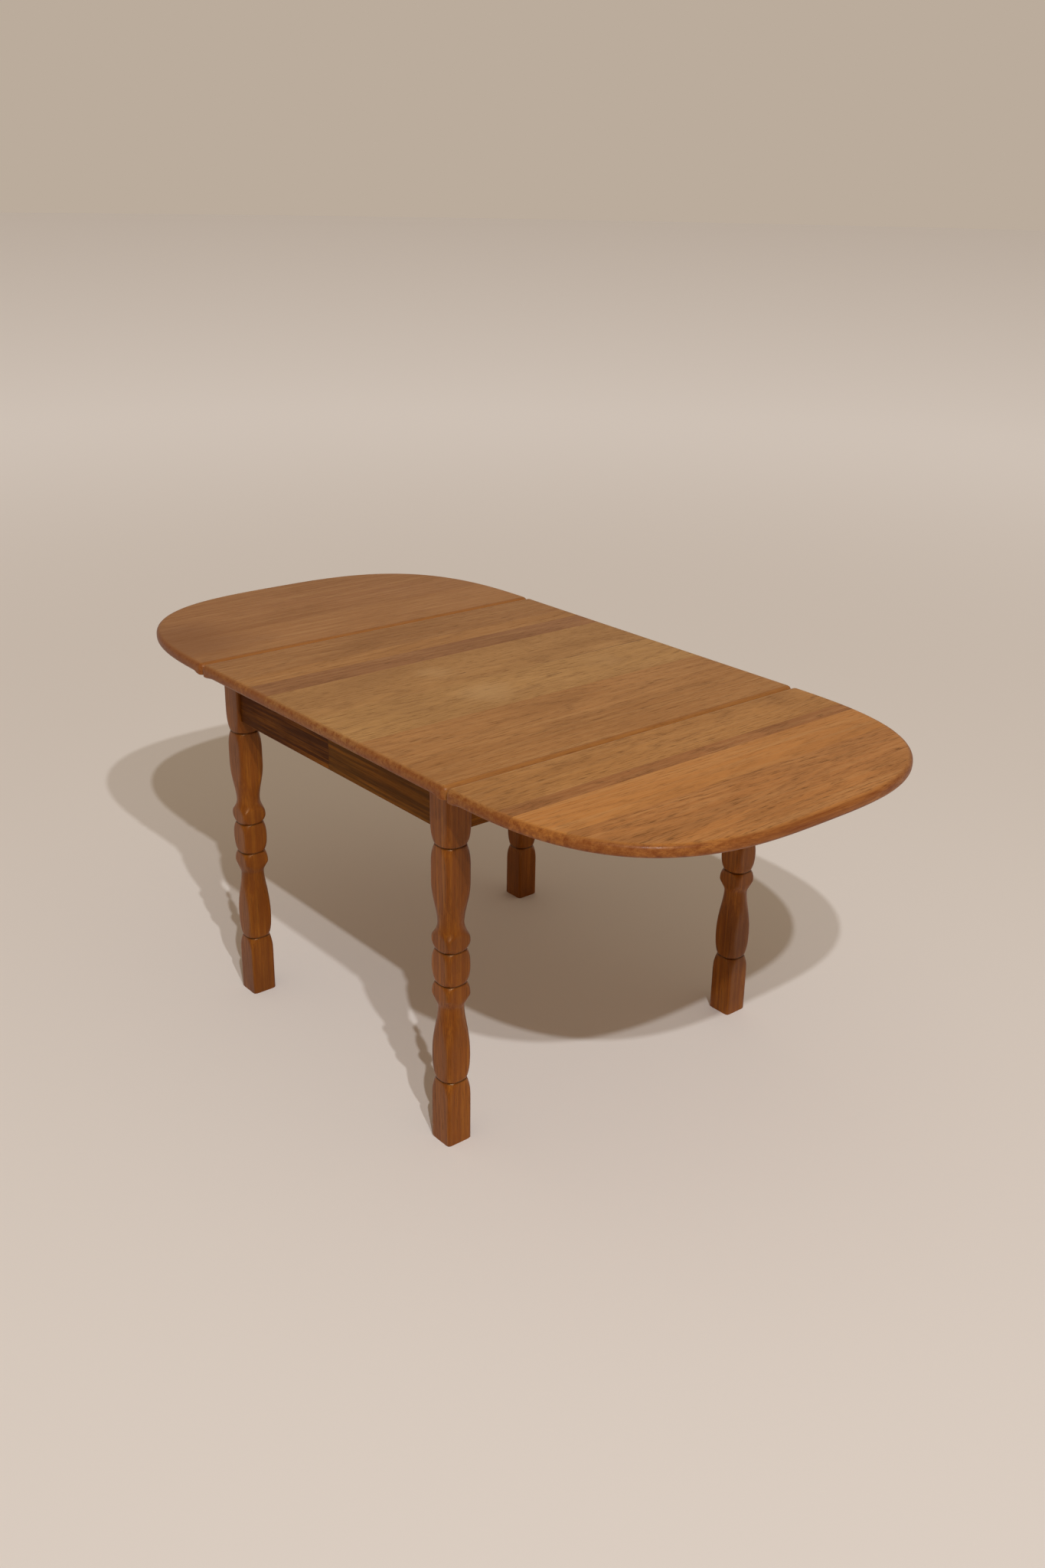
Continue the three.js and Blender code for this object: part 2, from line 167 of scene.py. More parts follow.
def oakMaterial(name, look):
    material = bpy.data.materials.new(name)
    material.use_nodes = True
    tree = material.node_tree
    coords = addNode(tree, "ShaderNodeTexCoord").outputs["Object"]
    split = addNode(tree, "ShaderNodeSeparateXYZ", [coords])
    across, depth, along = (split.outputs[way] for way in {"X": "YZX", "Y": "XZY", "Z": "XYZ"}[look["grain"]])

    # the boards side by side along X: each has its own tone, heart side and pore contrast
    dice = random.Random(look["seed"])
    span = look["span"] * mm
    place = addNode(tree, "ShaderNodeMapRange", {
        "Value": split.outputs["X"], "From Min": -span, "From Max": span})
    toneStops, traitStops, low = [], [], -look["span"]
    for high, tone, contrast in look["boards"]:
        start = (low + look["span"]) / (2 * look["span"])
        paintedBackdropLight = oakGrain["heartSpread"]
        heart = (low + high) / 2 + dice.uniform(-paintedBackdropLight, paintedBackdropLight) * (high - low)
        toneStops.append((start, tone))
        traitStops.append((start, ((heart + look["span"]) / (2 * look["span"]), dice.random(), contrast)))
        low = high
    tone = addNode(tree, "ShaderNodeValToRGB", [place], stops=toneStops, blend="CONSTANT")
    traits = addNode(tree, "ShaderNodeValToRGB", [place], stops=traitStops, blend="CONSTANT")
    trait = addNode(tree, "ShaderNodeSeparateColor", [traits])
    heartSide, luck, contrast = (trait.outputs[i] for i in range(3))
    shift = addNode(tree, "ShaderNodeMath", [luck, oakGrain["boardShift"]], operation="MULTIPLY")
    boardSpace = addNode(tree, "ShaderNodeCombineXYZ", [
        across, addNode(tree, "ShaderNodeMath", [depth, shift], operation="ADD"),
        addNode(tree, "ShaderNodeMath", [along, shift], operation="ADD")])

    # noise cells of each width across the grain and length along it, moved from board to board
    noise = {}
    for part in ("warp", "pores", "streaks", "mottle"):
        cell = oakGrain[part]
        scale = (1000 / cell["width"], 1000 / cell["width"], 1000 / cell["length"])
        scaled = addNode(tree, "ShaderNodeVectorMath", [boardSpace, scale], operation="MULTIPLY")
        offset = (cell["offset"], cell["offset"] * 1.7, cell["offset"] * 0.6)
        noise[part] = addNode(tree, "ShaderNodeTexNoise", {
            "Vector": addNode(tree, "ShaderNodeVectorMath", [scaled, offset], operation="ADD"),
            "Scale": 1.0, "Detail": cell["detail"], "Roughness": cell["roughness"]}).outputs["Fac"]

    # growth rings: curved sheets round a heart that lies below the board
    warpDepth = oakGrain["warpDepth"] * mm
    sway = addNode(tree, "ShaderNodeMath", [noise["warp"], 2 * warpDepth, -warpDepth], operation="MULTIPLY_ADD")
    if look["crown"]:
        heartX = addNode(tree, "ShaderNodeMath", [heartSide, 2 * span, -span], operation="MULTIPLY_ADD")
        fromHeart = addNode(tree, "ShaderNodeMath", [split.outputs["X"], heartX], operation="SUBTRACT")
        squared = addNode(tree, "ShaderNodeMath", [fromHeart, fromHeart], operation="MULTIPLY")
        crown = addNode(tree, "ShaderNodeMath", [squared, look["crown"]], operation="MULTIPLY")
    else:
        crown = addNode(tree, "ShaderNodeMath", [across, oakGrain["plainCrown"]], operation="MULTIPLY")
    lean = addNode(tree, "ShaderNodeMath", [along, oakGrain["lean"], crown], operation="MULTIPLY_ADD")
    swayed = addNode(tree, "ShaderNodeMath", [lean, sway], operation="ADD")
    ringPlace = addNode(tree, "ShaderNodeMath", [swayed, depth], operation="ADD")
    ringCount = addNode(tree, "ShaderNodeMath", [ringPlace, look["ringWidth"] * mm], operation="DIVIDE")
    ringPhase = addNode(tree, "ShaderNodeMath", [ringCount], operation="FRACT")
    ringTones = ((0.0, 0.75), (0.12, 1.0), (0.42, 0.3), (0.85, 0.0), (1.0, 0.75))
    rings = addNode(tree, "ShaderNodeValToRGB", [ringPhase], blend="EASE",
                    stops=[(place, grey(level)) for place, level in ringTones])

    # pores open in the early wood of each ring, and more on some boards than on others
    pores = addNode(tree, "ShaderNodeMapRange", {
        "Value": noise["pores"], "From Min": 0.5, "From Max": 0.66}, clamp=True)
    earlyShare = addNode(tree, "ShaderNodeMath", [rings, 0.6, 0.4], operation="MULTIPLY_ADD")
    earlyPores = addNode(tree, "ShaderNodeMath", [pores, earlyShare], operation="MULTIPLY")
    poreShare = addNode(tree, "ShaderNodeMath", [earlyPores, contrast], operation="MULTIPLY")

    # colour: board tone, then pale and dark streaks, ring bands, pores
    paleShare = addNode(tree, "ShaderNodeMapRange", {
        "Value": noise["streaks"], "From Min": 0.45, "From Max": 0.75, "To Max": look["paleStreaks"]})
    darkCells = addNode(tree, "ShaderNodeMapRange", {
        "Value": noise["mottle"], "From Min": 0.42, "From Max": 0.7, "To Max": look["darkMottle"]})
    darkShare = addNode(tree, "ShaderNodeMath", [contrast, darkCells], operation="MULTIPLY")
    ringContrast = addNode(tree, "ShaderNodeMath", [rings, contrast], operation="MULTIPLY")
    ringShare = addNode(tree, "ShaderNodeMath", [ringContrast, look["ringStrength"]], operation="MULTIPLY")
    poreDarkness = addNode(tree, "ShaderNodeMath", [poreShare, look["poreStrength"]], operation="MULTIPLY")
    colour = tone.outputs["Color"]
    for share, layer in ((paleShare, "pale"), (darkShare, "dark"), (ringShare, "dark"), (poreDarkness, "pore")):
        colour = addNode(tree, "ShaderNodeMix", {
            "Factor": share, "A": colour, "B": look[layer]}, data_type="RGBA")

    # places where hands and plates have rubbed the finish pale, and patches that are darker
    for x, y, radius, strength, patchColour in look.get("patches", []):
        reach = radius * mm
        middle = (x * mm, y * mm, look["top"] * mm)
        away = addNode(tree, "ShaderNodeVectorMath", [coords, middle], operation="DISTANCE").outputs["Value"]
        ragged = addNode(tree, "ShaderNodeMath", [noise["mottle"], reach, away], operation="MULTIPLY_ADD")
        patch = addNode(tree, "ShaderNodeMapRange", {
            "Value": ragged, "From Min": 0.6 * reach, "From Max": 1.6 * reach,
            "To Min": strength, "To Max": 0.0}, interpolation_type="SMOOTHSTEP")
        colour = addNode(tree, "ShaderNodeMix", {
            "Factor": patch, "A": colour, "B": patchColour}, data_type="RGBA")

    # open glue lines and checks, straight along the grain, closing up towards one end
    for x, start, end, width, strength in look.get("checks", []):
        wave = oakGrain["checkWave"]
        wavyX = addNode(tree, "ShaderNodeMath", [
            noise["warp"], wave * mm, split.outputs["X"]], operation="MULTIPLY_ADD")
        offX = addNode(tree, "ShaderNodeMath", [wavyX, (x + wave / 2) * mm], operation="SUBTRACT")
        line = addNode(tree, "ShaderNodeMapRange", {
            "Value": addNode(tree, "ShaderNodeMath", [offX], operation="ABSOLUTE"),
            "From Min": 0.3 * width * mm, "From Max": width * mm, "To Min": 1.0, "To Max": 0.0})
        closing = addNode(tree, "ShaderNodeMapRange", {
            "Value": split.outputs["Y"], "From Min": start * mm, "From Max": end * mm,
            "To Min": 1.0, "To Max": 0.0}, interpolation_type="SMOOTHSTEP")
        within = addNode(tree, "ShaderNodeMath", [
            split.outputs["Y"], (start + end) / 2 * mm, abs(end - start) / 2 * mm], operation="COMPARE")
        dashes = addNode(tree, "ShaderNodeMath", [pores, 0.5, 0.6], operation="MULTIPLY_ADD")
        share = strength
        for part in (within, line, closing):
            share = addNode(tree, "ShaderNodeMath", [part, share], operation="MULTIPLY")
        share = addNode(tree, "ShaderNodeMath", [share, dashes], operation="MULTIPLY", use_clamp=True)
        colour = addNode(tree, "ShaderNodeMix", {
            "Factor": share, "A": colour, "B": look["pore"]}, data_type="RGBA")

    # an end to end joint in a long board
    for x, width in look.get("butts", []):
        offX = addNode(tree, "ShaderNodeMath", [split.outputs["X"], x * mm], operation="SUBTRACT")
        line = addNode(tree, "ShaderNodeMapRange", {
            "Value": addNode(tree, "ShaderNodeMath", [offX], operation="ABSOLUTE"),
            "From Min": 0.0, "From Max": width * mm, "To Min": 0.7, "To Max": 0.0})
        colour = addNode(tree, "ShaderNodeMix", {
            "Factor": line, "A": colour, "B": look["pore"]}, data_type="RGBA")

    # rubbed arrises are paler, with a painted highlight added along the top's outer edge; grooves and joints
    # hold old stain and polish, and the leg grooves and the lower side of the top's outer edge are darkened
    # further as painted shade
    for mark, layer, pattern, gain in (("wearAndHighlight", "rubAndHighlight", "mottle", 1.2), ("stainAndShadeShare", "stainAndShade", "streaks", 2.0)):
        amount = addNode(tree, "ShaderNodeAttribute", attribute_name=mark).outputs["Fac"]
        broken = addNode(tree, "ShaderNodeMath", [noise[pattern], gain, -0.2], operation="MULTIPLY_ADD")
        share = addNode(tree, "ShaderNodeMath", [amount, broken], operation="MULTIPLY", use_clamp=True)
        colour = addNode(tree, "ShaderNodeMix", {
            "Factor": share, "A": colour, "B": look[layer]}, data_type="RGBA")

    change = oakGrain["sheenChange"]
    sheen = addNode(tree, "ShaderNodeMath", [noise["mottle"], change, look["roughness"] - change / 2],
                    operation="MULTIPLY_ADD")
    lateWood = addNode(tree, "ShaderNodeMath", [rings, -0.3], operation="MULTIPLY")
    plug(tree, tree.nodes["Principled BSDF"], {
        "Base Color": colour,
        "Roughness": addNode(tree, "ShaderNodeMath", [poreShare, oakGrain["poreRoughness"], sheen],
                             operation="MULTIPLY_ADD"),
        "Normal": addNode(tree, "ShaderNodeBump", {
            "Height": addNode(tree, "ShaderNodeMath", [lateWood, pores], operation="SUBTRACT"),
            "Distance": oakGrain["reliefDepth"] * mm, "Strength": look["relief"]}),
        "IOR": 1.5, "Specular IOR Level": look["gloss"], "Specular Tint": look["glossTint"],
        "Coat Weight": look["coat"], "Coat Roughness": oakGrain["coatRoughness"]})
    return material


# The top: edge-glued oak boards, oiled brown and finished in satin lacquer that has worn pale in the middle.
# boards: the X of the far side, tone, contrast of the pores; patches: x, y, radius, strength, colour;
# checks: x, y where it starts and ends, width, strength
topLook = {
    "grain": "Y", "span": 851, "seed": 5, "crown": 2.2, "ringWidth": 2.4, "top": 736.6,
    "boards": [
        (-572, "#996331", 0.5), (-408, "#a16b37", 0.45), (-285, "#9b6732", 0.7), (-227, "#a77137", 0.75),
        (-160, "#925e32", 0.75), (0, "#ac7b42", 0.85), (150, "#b38348", 0.85), (270, "#ad763d", 0.8),
        (408, "#a87138", 0.75), (530, "#b27a3d", 0.95), (560, "#a16632", 1.0), (660, "#bc7b39", 0.6),
        (770, "#b37438", 1.0), (851, "#b77739", 1.0)],
    "pale": "#c4935a", "paleStreaks": 0.5, "dark": "#6f421c", "darkMottle": 0.35,
    # the stain colour also paints shade on the outer edge's lower side, and the rub colour a highlight along its
    # rounding
    "pore": "#55300f", "poreStrength": 0.75, "ringStrength": 0.2, "stainAndShade": "#74390f", "rubAndHighlight": "#c4945c",
    "patches": [(80, -80, 75, 0.45, "#bb9260"), (-90, -90, 45, 0.3, "#bb9260"), (60, 240, 60, 0.15, "#bb9260"),
                # this last patch is darker, towards the front of the left leaf
                (-560, -390, 190, 0.7, "#7d4b20")],
    "checks": [(0, 440, -40, 1.9, 1.3), (68, 120, 10, 1.8, 1.0), (-48, -35, -75, 2.2, 1.2)],
    "roughness": 0.42, "relief": 0.5, "gloss": 0.22, "glossTint": "#ffe6cc", "coat": 0.06,
}
# The legs: one square blank each, turned, stained a redder brown and lacquered; old polish and painted shade
# darken the grooves
legLook = {
    "grain": "Z", "span": 400, "seed": 8, "crown": 0, "ringWidth": 3.4,
    "boards": [(0, "#793e09", 0.8), (400, "#7c400b", 0.85)],
    "pale": "#b06d1e", "paleStreaks": 0.6, "dark": "#4c2106", "darkMottle": 0.65,
    # the stain colour also paints shade into the grooves
    "pore": "#3f1d06", "poreStrength": 0.6, "ringStrength": 0.3, "stainAndShade": "#231004", "rubAndHighlight": "#b57a3c",
    "roughness": 0.34, "relief": 0.4, "gloss": 0.4, "glossTint": "#ffcf97", "coat": 0.04,
}
# The aprons: the same stain as the legs over quieter boards; the front one is two boards end to end
frontApronLook = dict(
    legLook, grain="X", seed=3, ringWidth=5, boards=[(0, "#442206", 0.9), (400, "#54350e", 0.5)],
    butts=[(0, 1.6)], relief=0.35, roughness=0.6, gloss=0.1, glossTint="#ffbd80", coat=0.0)
sideApronLook = dict(
    frontApronLook, grain="Y", seed=6, boards=[(0, "#653b11", 0.7), (400, "#683d12", 0.7)], butts=[])
# Parts that nobody sees: planed oak, left bare, so paler and flatter
bareLook = dict(
    legLook, grain="X", seed=12, ringWidth=4, boards=[(0, "#a58152", 0.6), (400, "#a98757", 0.6)],
    pale="#c2a273", dark="#84623a", pore="#6d4d2a", stainAndShade="#5d4024", rubAndHighlight="#c0a275",
    roughness=0.7, relief=0.6, gloss=0.15, coat=0.0)

lacqueredTopOak = oakMaterial("lacqueredTopOak", topLook)
turnedLegOak = oakMaterial("turnedLegOak", legLook)
frontApronOak = oakMaterial("stainedApronOakLong", frontApronLook)
sideApronOak = oakMaterial("stainedApronOakShort", sideApronLook)
bareOakAlong = oakMaterial("planedBareOakAlong", bareLook)
bareOakAcross = oakMaterial("planedBareOakAcross", dict(bareLook, grain="Y", seed=14))
bareOakUpright = oakMaterial("planedBareOakUpright", dict(bareLook, grain="Z", seed=15))
print("oak materials made")


def brushedSteel(name, look):
    # Steel strip, rolled and dull nickel plated: grey with a warm cast, finely brushed along its length
    material = bpy.data.materials.new(name)
    material.use_nodes = True
    tree = material.node_tree
    coords = addNode(tree, "ShaderNodeTexCoord").outputs["Object"]
    brushScale = (1000 / look["brushWidth"], 1000 / look["brushLength"], 1000 / look["brushWidth"])
    brushed = addNode(tree, "ShaderNodeTexNoise", {
        "Vector": addNode(tree, "ShaderNodeVectorMath", [coords, brushScale], operation="MULTIPLY"),
        "Scale": 1.0, "Detail": 2.0})
    tarnish = addNode(tree, "ShaderNodeTexNoise", {
        "Vector": coords, "Scale": 1000 / look["tarnishSize"], "Detail": 4.0})
    share = addNode(tree, "ShaderNodeMapRange", {
        "Value": tarnish, "From Min": 0.4, "From Max": 0.75, "To Max": look["tarnishShare"]})
    plug(tree, tree.nodes["Principled BSDF"], {
        "Base Color": addNode(tree, "ShaderNodeMix", {
            "Factor": share, "A": look["clean"], "B": look["tarnished"]}, data_type="RGBA"),
        "Roughness": addNode(tree, "ShaderNodeMapRange", {
            "Value": tarnish, "From Min": 0.3, "From Max": 0.7,
            "To Min": look["roughness"], "To Max": look["roughness"] + look["tarnishRoughness"]}),
        "Normal": addNode(tree, "ShaderNodeBump", {
            "Height": brushed, "Distance": look["brushDepth"] * mm, "Strength": 0.5}),
        "Metallic": 1.0})
    return material


hingeLook = {
    "brushWidth": 0.4, "brushLength": 12, "brushDepth": 0.02, "tarnishSize": 9, "tarnishShare": 0.8,
    "tarnishRoughness": 0.2, "clean": "#a59b8b", "tarnished": "#6f6150", "roughness": 0.3,
}
# The screws: the same steel, darker from old oil
screwLook = dict(hingeLook, brushLength=2, tarnishSize=4, clean="#8d8373", tarnished="#564b3d", roughness=0.34)
platedSteel = brushedSteel("platedHingeSteel", hingeLook)
screwSteel = brushedSteel("oiledScrewSteel", screwLook)

# The top: the centre panel and its two leaves
panel = {
    "length": 1701.8, "width": 863.6, "height": 736.6, "thickness": 24, "edgeRadius": 10,
    "jointX": 408, "jointGap": 1.2, "jointUnderRadius": 1.5, "cornerRadius": 12, "margin": 1.9,
    "endPower": 2.8, "sidePower": 3, "blendLength": 26, "curvePoints": 190, "edgeSteps": 8, "cornerSteps": 6,
    "nearEnds": (1, 3, 5.5, 8, 11, 14, 17, 20, 23, 26), "longSteps": 10, "jointSteps": 12,
    # the outer edge's darker lower side is partly painted shade, and its paler band is partly a painted
    # highlight
    "jointStain": 0.45, "edgeStainAndShade": 0.9, "edgeWearAndHighlight": 0.2, "jointWear": 0.45,
}


def curvedEnd(count):
    # the outline of a leaf's end, evenly spaced, from the back joint corner to the front one
    fine, fineSteps, endLength = [], 4000, panel["length"] / 2 - panel["jointX"]
    for i in range(fineSteps + 1):
        angle = math.pi / 2 - math.pi * i / fineSteps
        along = abs(math.cos(angle)) ** (2 / panel["endPower"])
        across = math.copysign(abs(math.sin(angle)) ** (2 / panel["sidePower"]), math.sin(angle))
        fine.append((panel["jointX"] + endLength * along, panel["width"] / 2 * across))
    clear = panel["jointX"] + panel["jointGap"] / 2 + panel["cornerRadius"]
    fine = [p for p in fine if p[0] > clear]
    lengths = [0.0]
    for a, b in zip(fine, fine[1:]):
        lengths.append(lengths[-1] + math.dist(a, b))
    points, k = [], 0
    for i in range(count + 1):
        wanted = lengths[-1] * i / count
        while k < len(fine) - 2 and lengths[k + 1] < wanted:
            k += 1
        t = (wanted - lengths[k]) / (lengths[k + 1] - lengths[k])
        points.append(tuple(a + (b - a) * t for a, b in zip(fine[k], fine[k + 1])))
    return points


def cornerArc(x, y, fromAngle, toAngle):
    r, steps = panel["cornerRadius"], panel["cornerSteps"]
    angles = [math.radians(fromAngle + (toAngle - fromAngle) * i / steps) for i in range(steps + 1)]
    return [(x + r * math.cos(a), y + r * math.sin(a)) for a in angles]


def blendedEdge(start, end):
    # a straight outer edge with extra points at its ends, where the joint's small underside radius grows
    length, steps = math.dist(start, end), panel["longSteps"]
    places = [*panel["nearEnds"], *(length * i / steps for i in range(1, steps)),
              *(length - p for p in reversed(panel["nearEnds"]))]
    return [tuple(a + (b - a) * p / length for a, b in zip(start, end)) for p in places]


def makePanel(name, outline, body):
    # outline: anticlockwise (x, y, weight); weight 1 has the full radius underneath, 0 the joint's
    top, bottom = panel["height"], panel["height"] - panel["thickness"]
    count = len(outline)
    normals = []
    for i in range(count):
        ax, ay, _ = outline[i - 1]
        bx, by, _ = outline[(i + 1) % count]
        normals.append(Vector((by - ay, ax - bx)).normalized())
    steps = panel["edgeSteps"]
    turns = [math.pi / 2 * i / steps for i in range(steps + 1)]
    rings, stainAndShadeShare, wearAndHighlight = [], [], []
    for level in range(2 * len(turns) + 2):
        for (x, y, weight), normal in zip(outline, normals):
            # turn: 0 on the side, a quarter turn on top
            over = panel["edgeRadius"]
            under = panel["jointUnderRadius"] + (panel["edgeRadius"] - panel["jointUnderRadius"]) * weight
            turn = 0.0
            if level == 0:
                turn = math.pi / 2
                inset, z = under + panel["margin"], bottom
            elif level <= len(turns):
                underTurn = turns[level - 1]
                inset, z = under * (1 - math.sin(underTurn)), bottom + under * (1 - math.cos(underTurn))
            elif level <= 2 * len(turns):
                turn = turns[level - 1 - len(turns)]
                inset, z = over * (1 - math.cos(turn)), top - over * (1 - math.sin(turn))
            else:
                turn = math.pi / 2
                inset, z = over + panel["margin"], top
            rings.append((x - normal.x * inset, y - normal.y * inset, z))
            # old stain lies in the joints; round the outer edge old stain and painted shade darken the edge more
            # the further it turns down, and rubbing with a painted highlight pales the middle of its rounding;
            # arrises that face -X are rubbed paler
            steep = smoothStep((1 - turn / (math.pi / 2)) / 0.55)
            inJoint = smoothStep((abs(normal.x) - 0.75) / 0.2) * (1 - weight)
            atEdge = 1 - inJoint
            flush = level in (0, 2 * len(turns) + 1)
            share = panel["jointStain"] if normal.x > 0 else panel["jointStain"] * steep
            stainAndShadeShare.append(0.0 if flush else share * inJoint + panel["edgeStainAndShade"] * steep * atEdge)
            wearAndHighlight.append(panel["edgeWearAndHighlight"] * math.sin(2 * turn) * atEdge + (
                panel["jointWear"] * (1 - steep) * inJoint if normal.x < 0 and not flush else 0.0))
    # the lowest ring comes first; its cap faces down
    faces = ringFaces(2 * len(turns) + 2, count)
    obj = newPiece(name, rings, faces, lacqueredTopOak, marks={"stainAndShadeShare": stainAndShadeShare, "wearAndHighlight": wearAndHighlight})
    mount(obj, body, "top_oak", name.removesuffix("Board"))
    return obj


def leafOutline():
    joint = panel["jointX"] + panel["jointGap"] / 2
    cornerX, cornerY = joint + panel["cornerRadius"], panel["width"] / 2 - panel["cornerRadius"]
    end = curvedEnd(panel["curvePoints"])[::-1]  # front to back, anticlockwise
    lengths = [0.0]
    for a, b in zip(end, end[1:]):
        lengths.append(lengths[-1] + math.dist(a, b))
    outline = [(*p, 0.0) for p in cornerArc(cornerX, -cornerY, 180, 270)]
    for point, run in zip(end, lengths):
        toEnd = min(run, lengths[-1] - run)
        if toEnd > 1:
            outline.append((*point, smoothStep(toEnd / panel["blendLength"])))
    outline += [(*p, 0.0) for p in cornerArc(cornerX, cornerY, 90, 180)]
    steps = panel["jointSteps"]
    outline += [(joint, cornerY - 2 * cornerY * i / steps, 0.0) for i in range(1, steps)]
    return outline


def centreOutline():
    joint = panel["jointX"] - panel["jointGap"] / 2
    cornerX, cornerY = joint - panel["cornerRadius"], panel["width"] / 2 - panel["cornerRadius"]
    outline, steps = [], panel["jointSteps"]
    for sx, sy, start in ((1, -1, 270), (1, 1, 0), (-1, 1, 90), (-1, -1, 180)):
        x, y = sx * cornerX, sy * cornerY
        outline += [(*p, 0.0) for p in cornerArc(x, y, start, start + 90)]
        if start in (270, 90):
            outline += [(sx * joint, y - 2 * y * i / steps, 0.0) for i in range(1, steps)]
        else:
            edgeY = sy * panel["width"] / 2
            edge = blendedEdge((x, edgeY), (-x, edgeY))
            outline += [(*p, smoothStep((cornerX - abs(p[0])) / panel["blendLength"])) for p in edge]
    return outline


makePanel("centre_panelBoard", centreOutline(), "frame")
rightOutline = leafOutline()
makePanel("right_leafBoard", rightOutline, "right_leaf")
makePanel("left_leafBoard", [(-x, -y, weight) for x, y, weight in rightOutline], "left_leaf")
print("top made")

# Each leg is a square blank turned between its blocks: a round turning cut by the blank's four flat sides.
leg = {
    "side": 53, "centreX": 349.5, "centreY": 373.7, "height": 712.3,
    "bulge": 35.4, "neck": 23.7, "lip": 28.4, "groove": 26.0, "corner": 36.7, "footChamfer": 1.5,
    "arris": 6.0, "sides": 128, "grooves": (132, 332, 398.5, 601.5), "grooveStainAndShadeReach": 2.8,
    "mortise": {"depth": 24, "width": 10.6, "height": 60.6, "middleZ": 670.8, "fromAxis": 8.5},
}


def bezierPoint(points, t):
    while len(points) > 1:
        points = [tuple(a + (b - a) * t for a, b in zip(p, q)) for p, q in zip(points, points[1:])]
    return points[0]


def legProfile():
    # radius against height; each row is the control points of the next stretch, up from the foot
    bulge, neck, lip, groove, corner = (leg[k] for k in ("bulge", "neck", "lip", "groove", "corner"))
    rows = [
        [(corner, 30)], [(corner, 60)], [(corner, 90)], [(corner - 0.1, 96)], [(corner - 0.5, 102)],
        [(35.5, 112), (32.5, 122), (lip, 130.5)], [(groove, 132)], [(lip, 133.5)],
        [(32, 140), (bulge, 158), (bulge, 182)], [(bulge, 222), (24.5, 251), (neck, 279)],
        [(neck, 284), (neck + 0.6, 286.5)], [(26.4, 291.5)], [(29.4, 296.8)], [(32.4, 302)],
        [(bulge, 306), (bulge, 309.5)],
        [(bulge, 317), (33, 325), (lip, 330.5)], [(groove, 332)], [(lip, 333.5)],
        [(32, 340), (bulge, 351), (bulge, 366)], [(bulge, 383), (32.4, 391), (lip, 397)],
        [(groove, 398.5)], [(lip, 400)], [(31.5, 405), (bulge, 410), (bulge, 417)],
        [(bulge, 424), (31.5, 428.5)], [(27, 434.5), (neck, 441), (neck, 452)],
        [(24.6, 478), (34.5, 498), (bulge, 530)], [(bulge, 546)], [(bulge, 562)],
        [(bulge, 580), (31.5, 592), (lip, 600)], [(groove, 601.5)], [(lip, 603)],
        [(32.2, 610), (35.4, 620), (corner - 0.3, 640)], [(corner, 652)], [(corner, 680)],
        [(corner, leg["height"])],
    ]
    points = [(corner - leg["footChamfer"], 0.0), (corner, leg["footChamfer"])]
    for row in rows:
        steps = {1: 1, 2: 6, 3: 16}[len(row)]
        start = points[-1]
        points += [bezierPoint([start, *row], i / steps) for i in range(1, steps + 1)]
    return points


def legTree():
    tree = bpy.data.node_groups.new("squareCutTurning", "GeometryNodeTree")
    tree.interface.new_socket("Axis line", in_out="INPUT", socket_type="NodeSocketGeometry")
    for label, value in (("Half side", leg["side"] / 2), ("Arris", leg["arris"])):
        socket = tree.interface.new_socket(label, in_out="INPUT", socket_type="NodeSocketFloat")
        socket.default_value = value * mm
    tree.interface.new_socket("Sides", in_out="INPUT", socket_type="NodeSocketInt").default_value = leg["sides"]
    tree.interface.new_socket("Place", in_out="INPUT", socket_type="NodeSocketVector")
    tree.interface.new_socket("Finish", in_out="INPUT", socket_type="NodeSocketMaterial")
    tree.interface.new_socket("Leg", in_out="OUTPUT", socket_type="NodeSocketGeometry")
    given = addNode(tree, "NodeGroupInput")
    size = {s.name: s for s in given.outputs}
    turningRadius = addNode(tree, "GeometryNodeInputNamedAttribute", {"Name": "turning"}, data_type="FLOAT")
    axis = addNode(tree, "GeometryNodeMeshToCurve", {"Mesh": size["Axis line"]})
    circle = addNode(tree, "GeometryNodeCurvePrimitiveCircle", {"Resolution": size["Sides"], "Radius": 1.0})
    turning = addNode(tree, "GeometryNodeCurveToMesh", {
        "Curve": axis, "Profile Curve": circle, "Scale": turningRadius.outputs["Attribute"], "Fill Caps": True})
    # the four flat sides: nothing stands further out than half a side, with a soft arris where flat meets round
    where = addNode(tree, "ShaderNodeSeparateXYZ", {"Vector": addNode(tree, "GeometryNodeInputPosition")})
    cut = {}
    for way in ("X", "Y"):
        reach = addNode(tree, "ShaderNodeMath", [where.outputs[way]], operation="ABSOLUTE")
        flat = addNode(tree, "ShaderNodeMath", [reach, size["Half side"], size["Arris"]], operation="SMOOTH_MIN")
        side = addNode(tree, "ShaderNodeMath", [where.outputs[way]], operation="SIGN")
        cut[way] = addNode(tree, "ShaderNodeMath", [flat, side], operation="MULTIPLY")
    cutPlace = addNode(tree, "ShaderNodeCombineXYZ", {"X": cut["X"], "Y": cut["Y"], "Z": where.outputs["Z"]})
    squared = addNode(tree, "GeometryNodeSetPosition", {
        "Geometry": turning, "Position": cutPlace, "Offset": size["Place"]})
    smooth = addNode(tree, "GeometryNodeSetShadeSmooth", {"Geometry": squared})
    real = addNode(tree, "GeometryNodeRealizeInstances", {"Geometry": smooth})
    finished = addNode(tree, "GeometryNodeSetMaterial", {"Geometry": real, "Material": size["Finish"]})
    addNode(tree, "NodeGroupOutput", {"Leg": finished})
    return tree


turnLegs = legTree()


